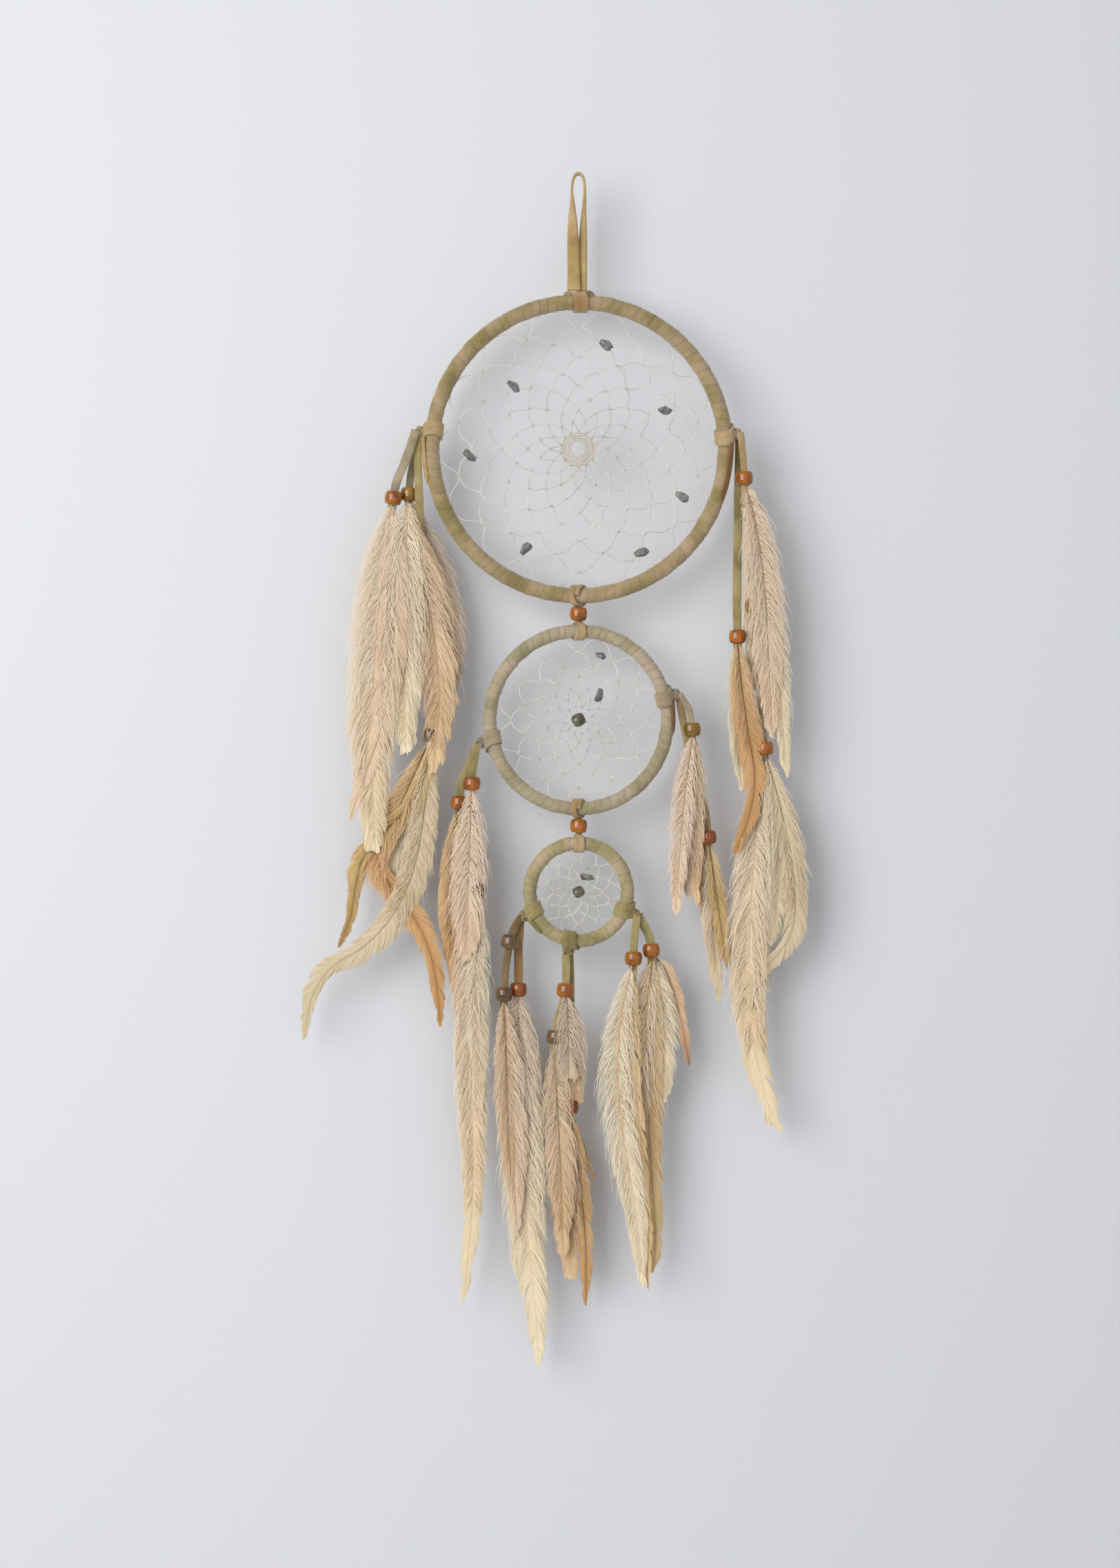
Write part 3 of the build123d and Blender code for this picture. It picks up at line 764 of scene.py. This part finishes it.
def stone_chips(ring, rng):
    """Tumbled chips: faceted lumps with their edges worn round.

    Their faces are sorted, because the order that Blender gives them in varies from run to run.
    """
    height, _, _ = ring_size(ring)
    for number, (x, z, length, width, turn) in enumerate(CHIPS[ring], 1):
        lump = bmesh.new()
        for direction in unit(rng.normal(size=(CHIP_CORNERS, 3))):
            size = np.array((length, CHIP_DEPTH, width)) / 2
            corner = direction / np.abs(direction).max() ** 0.55 * rng.uniform(0.86, 1.0)
            lump.verts.new(np.clip(corner, -1, 1) * size)
        hull = bmesh.ops.convex_hull(lump, input=lump.verts)
        inside = [item for item in hull["geom_interior"] if isinstance(item, bmesh.types.BMVert)]
        bmesh.ops.delete(lump, geom=inside, context="VERTS")
        bmesh.ops.bevel(lump, geom=lump.edges[:], offset=CHIP_WEAR, segments=2, profile=0.6, affect="EDGES",
                        clamp_overlap=True)
        bmesh.ops.remove_doubles(lump, verts=lump.verts[:], dist=0.02)
        bmesh.ops.triangulate(lump, faces=lump.faces[:])
        turned = np.array(Matrix.Rotation(math.radians(-turn), 3, "Y"))
        points = np.array([vertex.co for vertex in lump.verts]) @ turned.T + (x, 0, height + z)
        faces = (np.array([vertex.index for vertex in face.verts]) for face in lump.faces)
        faces = np.array(sorted(np.roll(face, -face.argmin()).tolist() for face in faces))
        lump.free()
        shape = Shape()
        shape.add(points, [faces], rng.uniform(0.75, 1.15))
        shape.piece(f"{ring}_stone_{number}", f"{ring}_hoop", "stone", STONE, [f"{ring}_stones"])


def bead_shape(place, axis, radius=BEAD_RADIUS, length=BEAD_LENGTH, hole=BEAD_HOLE_RADIUS, tint=1.0):
    """A barrel bead with a round hole and plump edges, about an axis."""
    profile = outline(22, 2.2)
    reach = (radius + hole) / 2 + profile[:, 0] * (radius - hole) / 2
    rise = profile[:, 1] * length / 2 * (1 - 0.06 * (profile[:, 0] + 1))
    axis = unit(np.asarray(axis, float))
    side = unit(np.cross(axis, (0.0, 1.0, 0.0)) + (1e-6, 0, 0))
    other = np.cross(axis, side)
    angle = np.linspace(0, 2 * math.pi, 40, endpoint=False)
    spokes = side * np.cos(angle)[:, None] + other * np.sin(angle)[:, None]
    points = np.asarray(place) + spokes[:, None] * reach[None, :, None] + axis * rise[None, :, None]
    index = np.arange(points.shape[0] * points.shape[1]).reshape(points.shape[:2])
    after = np.roll(index, -1, 1)
    quads = np.stack([index, after, np.roll(after, -1, 0), np.roll(index, -1, 0)], -1)
    shape = Shape()
    shape.add(points, [quads.reshape(-1, 4)], tint)
    return shape


# ---- feathers


def mean_bend(lean, close):
    """How far a barb leans from the shaft, averaged from its root to its tip."""
    return lean * 0.42 + close * 0.58


def barb_row(shape, quill, hand, tones, rng, *, root, lean, close, reach, lift, cup, wave, wide, pull):
    """Barbs down one side of a quill, each a thin tapering blade that sweeps towards the feather's tip."""
    shaft, along, across, face = quill
    count = len(root)
    at = root * (len(shaft) - 1)
    low = np.floor(at).astype(int).clip(0, len(shaft) - 2)
    mix = (at - low)[:, None]
    base, t_axis, n_axis, f_axis = (
        (values[low] * (1 - mix) + values[low + 1] * mix)[:, None]
        for values in (shaft, along, across * hand, face))
    u = np.linspace(0, 1, BARB_STEPS + 1)[None]
    bend = lean[:, None] + (close - lean)[:, None] * u**0.7
    bend = bend + wave[:, None] * np.sin(u * rng.uniform(3, 8, (count, 1)) + rng.uniform(0, 6.3, (count, 1)))
    rise = lift[:, None] * (1 - 0.5 * u) - cup * u
    grow = (reach / BARB_STEPS)[:, None]

    def travel(values):
        steps = (values[:, 1:] + values[:, :-1]) / 2 * grow
        return np.concatenate([np.zeros((count, 1)), np.cumsum(steps, axis=1)], 1)[..., None]

    line = (base + t_axis * (travel(np.cos(bend)) + (pull[:, None] * u**2)[..., None])
            + n_axis * travel(np.sin(bend)) + f_axis * travel(np.sin(rise)))
    half = wide[:, None, None] / 2 * (1 - 0.75 * u**1.6)[..., None]
    breadth = n_axis * np.cos(bend)[..., None] - t_axis * np.sin(bend)[..., None]
    thin = f_axis * BARB_THICKNESS / 2
    corners = np.stack([line + breadth * half + thin, line - breadth * half + thin, line - thin], axis=2)
    corners[..., 1] = DEPTH_LIMIT * np.tanh(corners[..., 1] / DEPTH_LIMIT)
    index = np.arange(count * (BARB_STEPS + 1) * 3).reshape(count, BARB_STEPS + 1, 3)
    here, after = index[:, :-1], index[:, 1:]
    sides = np.stack([here, np.roll(here, -1, 2), np.roll(after, -1, 2), after], -1).reshape(-1, 4)
    caps = np.concatenate([index[:, 0, ::-1], index[:, -1]])
    inner, outer, shading, shaft_tone = tones
    near = (shading * np.exp(-u / 0.14))[..., None]
    tone = inner[:, None] * (1 - u[..., None]) + outer[:, None] * u[..., None]
    tone = (tone * (1 - near) + shaft_tone * near) * rng.uniform(0.93, 1.05, (count, 1, 1))
    shape.add(corners, [sides, caps], np.repeat(np.clip(tone, 0, 0.97), 3, axis=1).reshape(-1, 3))


def feather(shape, route, depth, width, colours, down, rng):
    """One feather: a tapering quill with a silky vane each side, and soft down from its base."""
    down_tone, vane_tone, tip_tone, shaft_tone = (np.array(linear(*tone)) for tone in PLUMAGE[colours])
    shaft = through([(x, 0.0, z) for x, z in route], SHAFT_POINTS)
    long = length_of(shaft)
    part = np.linspace(0, 1, len(shaft))
    start, rest = depth if isinstance(depth, tuple) else (depth, depth)
    shaft[:, 1] = start + (rest - start) * np.minimum(part / 0.12, 1)
    shaft[:, 1] += rng.uniform(-1.6, 1.6) * np.sin(math.pi * part) * long / 120
    along = tangents(shaft)
    side = unit(np.cross(along, FRONT))
    tilt = math.radians(rng.uniform(-16, 16)) + math.radians(rng.uniform(-14, 14)) * part
    across = side * np.cos(tilt)[:, None] + FRONT * np.sin(tilt)[:, None]
    face = np.cross(across, along)
    thick = np.interp(part, [0, 0.1, 1], [0.5, 0.4, 0.1])
    tone = shaft_tone * (1 - 0.3 * part[:, None]) + vane_tone * 0.3 * part[:, None]
    points, blocks = sweep(shaft, across, face, thick, thick, outline(6))
    shape.add(points, blocks, np.repeat(tone, 6, axis=0))
    shading = SHAFT_DARKENING.get(colours, 0.18)

    def half_width(root):
        return width / 2 * np.interp(root, [0, 0.05, 0.14, 0.34, 0.55, 0.75, 0.9, 1],
                                     [0.15, 0.55, 0.9, 1.0, 0.86, 0.58, 0.34, 0.06])

    def tones(root):
        tip = np.clip((root - 0.6) / 0.35, 0, 1)[:, None]
        vane = np.clip((root - down + 0.25) / 0.4, 0, 1)[:, None]
        inner = (down_tone * (1 - vane) + vane_tone * vane) * (1 - tip) + tip_tone * tip
        return inner, inner * 0.75 + down_tone * 0.25, shading, shaft_tone

    quill = (shaft, along, across, face)
    for hand in (-1, 1):
        first = max(0.03, down - 0.3)
        count = int(long * (1 - first) / VANE_SPACING)
        root = np.linspace(first, 0.995, count) + rng.normal(0, 0.1 / count, count)
        clumps = np.cumsum(rng.random(count) < CLUMP_SHARE)
        clumps -= clumps[0]
        offsets = rng.normal(size=(clumps[-1] + 1, 3))[clumps]
        centre = np.array([root[clumps == c].mean() for c in range(clumps[-1] + 1)])[clumps]
        lean = np.radians(np.interp(root, [0, 0.5, 1], [58, 48, 30]) + offsets[:, 0] * 3)
        close = lean * 0.28
        spread = half_width(root) * (1 + 0.08 * wander(rng, count, 8)) * (1 + 0.05 * offsets[:, 1])
        barb_row(
            shape, quill, hand, tones(root), rng, root=root, lean=lean, close=close,
            reach=spread / np.sin(mean_bend(lean, close)),
            lift=np.radians(3 * offsets[:, 2] + rng.normal(0, 1.5, count)), cup=0.12,
            wave=rng.uniform(0.0, 0.06, count), wide=np.full(count, VANE_SPACING * 1.5),
            pull=0.3 * (centre - root) * long,
        )
        for layer in (-1, 1):
            count = int(long * min(down + 0.15, 0.96) / DOWN_SPACING)
            root = np.sort(rng.uniform(0.012, min(down + 0.15, 0.96), count))
            fade = np.clip((down + 0.15 - root) / 0.2, 0.2, 1)
            stray = rng.random(count) < STRAY_SHARE
            lean = np.radians(np.where(stray, rng.uniform(60, 105, count), rng.uniform(30, 72, count)))
            close = np.radians(np.where(stray, rng.uniform(10, 60, count), rng.uniform(-4, 24, count)))
            spread = half_width(root) * rng.uniform(0.55, 1.18, count) * (0.75 + 0.25 * fade)
            barb_row(
                shape, quill, hand, tones(root), rng, root=root, lean=lean, close=close,
                reach=spread / np.maximum(np.sin(mean_bend(lean, close)), 0.3),
                lift=np.radians(rng.uniform(0, 26, count) * layer), cup=0.0,
                wave=rng.uniform(0.08, 0.3, count), wide=rng.uniform(0.2, 0.42, count), pull=np.zeros(count),
            )


# ---- build


def hanging_loop():
    """The lace loop over the nail: flat over the nail and turned to face forward on its way down."""
    line = route_line("hang_route", HANG_ROUTE)
    part = np.linspace(0, 1, len(line))
    turn = np.interp(part, [0, 0.18, 0.42, 0.58, 0.8, 1], [0.02, 0.04, 0.5, 0.5, 0.78, 0.86]) * math.pi
    across, out = ribbon_frames(line, FRONT, turn)
    shape = Shape()
    width = np.interp(part, [0, 0.08, 0.3, 0.45, 0.55, 0.75, 1], [3.5, 3.2, 3.0, 2.2, 2.2, 2.6, 2.9])
    foot = np.interp(part, [0, 0.12, 0.22, 1], [1, 1, 0, 0])[:, None]
    tone = np.array((0.96, 0.97, 0.78)) * foot + np.array((1.02, 0.98, 0.88)) * (1 - foot)
    tone = np.where(part[:, None] > 0.5, (1.1, 1.14, 1.02), tone)
    shape.add(*sweep(line, across, out, width, LACE_THICKNESS / 2), np.repeat(tone, len(STRAP), axis=0))
    piece = shape.piece("hang_loop_lace", "hang_loop", "suede_lace", SUEDE["tan"], ["hang_lace"])
    wound = Shape()
    wound_lace(wound, "big", math.pi / 2, 2.0, TIE_WIDTH, 0.15, (0.96, 0.88, 0.82), 0.02)
    height, radius, rod = ring_size("big")
    # Both knots are side loops of one lark's head; the right one is darker (0.5 against 0.8) as painted
    # shade, on the side away from the window light.
    knot(wound, (5.6, -1.2, height + radius + rod - 0.6), 3.8, 0.6, 2.6, 0.5)
    knot(wound, (-5.4, -1.2, height + radius + rod - 0.8), 3.4, 1.9, 2.6, 0.8)
    wound.piece("hang_loop_winding", "hang_loop", "suede_lace", SUEDE["tan"], ["hang_wrap"])


def tassel(name, seed):
    """One tie with its laces, beads and feathers."""
    body = f"{name}_tassel"
    rng = np.random.default_rng(seed)
    for letter, (route, width, tone, beads) in LACES[name].items():
        node = f"{name}_lace_{letter}"
        line = route_line(node, route)
        part = np.linspace(0, 1, len(line))
        turn = LACE_TWIST * wander(rng, len(line), 4)
        across, out = ribbon_frames(line, FRONT, turn)
        shape = Shape()
        taper = np.interp(part, [0, 0.93, 1], [1, 1, 0.7])
        half_width = width / 2 * (1 + 0.05 * wander(rng, len(line), 12)) * taper
        shape.add(*sweep(line, across, out, half_width, LACE_THICKNESS / 2))
        lace = shape.piece(f"{node}_strap", body, "suede_lace", SUEDE[tone], [node])
        for number, (height, look) in enumerate(beads.items(), 1):
            at = int(np.abs(line[:, 2] - height).argmin())
            axis = line[min(at + 2, len(line) - 1)] - line[max(at - 2, 0)]
            bead = bead_shape(line[at], axis, tint=rng.uniform(0.9, 1.1))
            bead.piece(f"{node}_bead_{number}", body, "amber_bead", BEAD_GLASS[look],
                                     [f"{name}_beads"])
    nodes = [node for node in frame["nodes"] if node.startswith(f"{name}_") and node.endswith("feathers")]
    for number, (route, depth, width, colours, down) in enumerate(FEATHERS[name], 1):
        shape = Shape()
        feather(shape, route, depth, width, colours, down, rng)
        shape.piece(f"{name}_feather_{number}", body, "feather", PLUMAGE_MATERIAL, nodes, smooth=False)


def ties(ring, names):
    """The laces wound and knotted round the ring, from which the tassels hang."""
    height, radius, rod = ring_size(ring)
    shape = Shape()
    for number, name in enumerate(names):
        joint = next(j for j in frame["joints"] if j["name"] == f"{name}_tassel_swing")
        x, _, z = np.array(joint["pos_m"]) / MM
        angle = math.atan2(z - height, x)
        wound_lace(shape, ring, angle, 2.0, TIE_WIDTH, 0.1, (0.96, 0.94, 0.9), 0.03)
        out = np.array((math.cos(angle), 0, math.sin(angle)))
        place = np.array((0, -0.6, height)) + out * (radius + rod + 2.0)
        knot(shape, place, 4.8, number * 1.3, 2.8, 0.74)
        if name in BANDS:
            band(shape, ring, *BANDS[name])
    tone = {"big": "tan", "mid": "grey", "small": "olive"}[ring]
    shape.piece(f"{ring}_tie_knots", f"{ring}_hoop", "suede_lace", SUEDE[tone], [f"{ring}_ties"])


def link(name, upper, lower):
    """A bead on a short lace between two rings."""
    low, high = box_of(f"{name}_link_bead")
    centre = (low + high) / 2
    bead_shape(centre, (0.06, 0.02, 1), tint=1.05).piece(
        f"{name}_link_pony_bead", f"{name}_link", "amber_bead", BEAD_GLASS["orange"], [f"{name}_link_bead"])
    for ring, foot, body, node, clearance, sense in (
        (upper, -math.pi / 2, f"{name}_link", f"{name}_link_lace", 0.35, 1),
        (lower, math.pi / 2, f"{lower}_hoop", f"{lower}_hanger_lace", 0.1, -1),
    ):
        shape = Shape()
        wound_lace(shape, ring, foot, 1.5, 3.0, clearance, (0.97, 0.94, 0.88), 0.04)
        height, radius, rod = ring_size(ring)
        edge = height - sense * (radius + rod)
        stem = through([(0.3, -0.3, edge + sense * 0.4), (0.1, 0.1, (edge + centre[2]) / 2),
                        (0, 0, centre[2] + sense * 0.7)], 14)
        across, out = ribbon_frames(stem, FRONT, 0.3 * sense)
        shape.add(*sweep(stem, across, out, 1.6, LACE_THICKNESS / 2))
        shape.piece(f"{node}_strap", body, "suede_lace", SUEDE["tan"], [node])


def centre_bead(ring):
    """The small dark bead in the middle of a web."""
    low, high = box_of(f"{ring}_centre_bead")
    radius = (high[0] - low[0]) / 2
    bead_shape((low + high) / 2, (1, 0.15, 0.5), radius * 0.86, radius * 1.7, 0.7).piece(
        f"{ring}_centre_round_bead", f"{ring}_hoop", "centre_bead", BEAD_GLASS["centre"],
        [f"{ring}_centre_bead"])


hanging_loop()
TASSELS = {"big": ("big_left", "big_right"), "mid": ("mid_left", "mid_right"),
           "small": ("small_left", "small_bottom", "small_right")}
for number, ring in enumerate(RINGS):
    frame["nodes"][f"{ring}_hoop_core"].material_slots[0].material = WIRE
    hoop_winding(ring, np.random.default_rng(20 + number))
    web(ring, np.random.default_rng(30 + number))
    stone_chips(ring, np.random.default_rng(40 + number))
    ties(ring, TASSELS[ring])
    for place, name in enumerate(TASSELS[ring]):
        tassel(name, 100 + 10 * number + place)
link("upper", "big", "mid")
link("lower", "mid", "small")
centre_bead("mid")
centre_bead("small")

# ---- stage, light and camera


def paint(name, colour, one_sided=False):
    """Matt paint, which can be clear when it is seen from behind."""
    surface = Surface(name, 0.9, Specular_IOR_Level=0.1, Base_Color=(*colour, 1))
    if one_sided:
        share = surface.blend(surface.node("ShaderNodeBsdfTransparent"))
        surface.link(surface.node("ShaderNodeNewGeometry").outputs["Backfacing"], share)
    return surface.material


def staged_plane(name, corners, material):
    mesh = bpy.data.meshes.new(name)
    mesh.from_pydata([Vector(c) * MM for c in corners], [], [range(len(corners))])
    mesh.materials.append(material)
    new_object(name, mesh)


def stage():
    half, top = 2600.0, 2200.0
    wall = [(-half, FLOOR_HEIGHT), (half, FLOOR_HEIGHT), (half, top), (-half, top)]
    staged_plane("wall", [(x, WALL_DISTANCE, z) for x, z in wall],
                 paint("wall_paint", (0.694, 0.702, 0.716), one_sided=True))
    floor = [(-half, -4000), (half, -4000), (half, 3000), (-half, 3000)]
    staged_plane("floor", [(x, y, FLOOR_HEIGHT) for x, y in floor], paint("floor_paint", (0.66, 0.66, 0.67)))
    world = bpy.data.worlds.new("room")
    world.use_nodes = True
    world.node_tree.nodes["Background"].inputs["Color"].default_value = (0.93, 0.95, 1.0, 1)
    world.node_tree.nodes["Background"].inputs["Strength"].default_value = 0.52
    bpy.context.scene.world = world
    bpy.context.scene.view_settings.view_transform = "Standard"


def area_light(name, place, target, size, power):
    data = bpy.data.lights.new(name, "AREA")
    data.shape, data.size, data.energy = "SQUARE", size, power
    lamp = new_object(name, data)
    lamp.location = place
    lamp.rotation_mode = "QUATERNION"
    lamp.rotation_quaternion = (Vector(target) - Vector(place)).to_track_quat("-Z", "Y")


def camera():
    data = bpy.data.cameras.new("camera")
    data.lens, data.sensor_width = CAMERA_LENS, SENSOR
    view = new_object("camera", data)
    distance = CAMERA_VIEW_HEIGHT * CAMERA_LENS / SENSOR
    x, z = CAMERA_CENTRE
    view.location = Vector((x, -distance, z)) * MM
    view.rotation_euler = (math.pi / 2, 0, 0)
    bpy.context.scene.camera = view


stage()
camera()
area_light("window", (-1.0, -1.45, 0.1), (-0.12, 0, -0.32), 1.3, 23)
area_light("fill", (0.6, -2.6, 0.0), (0, 0, -0.32), 2.0, 5)
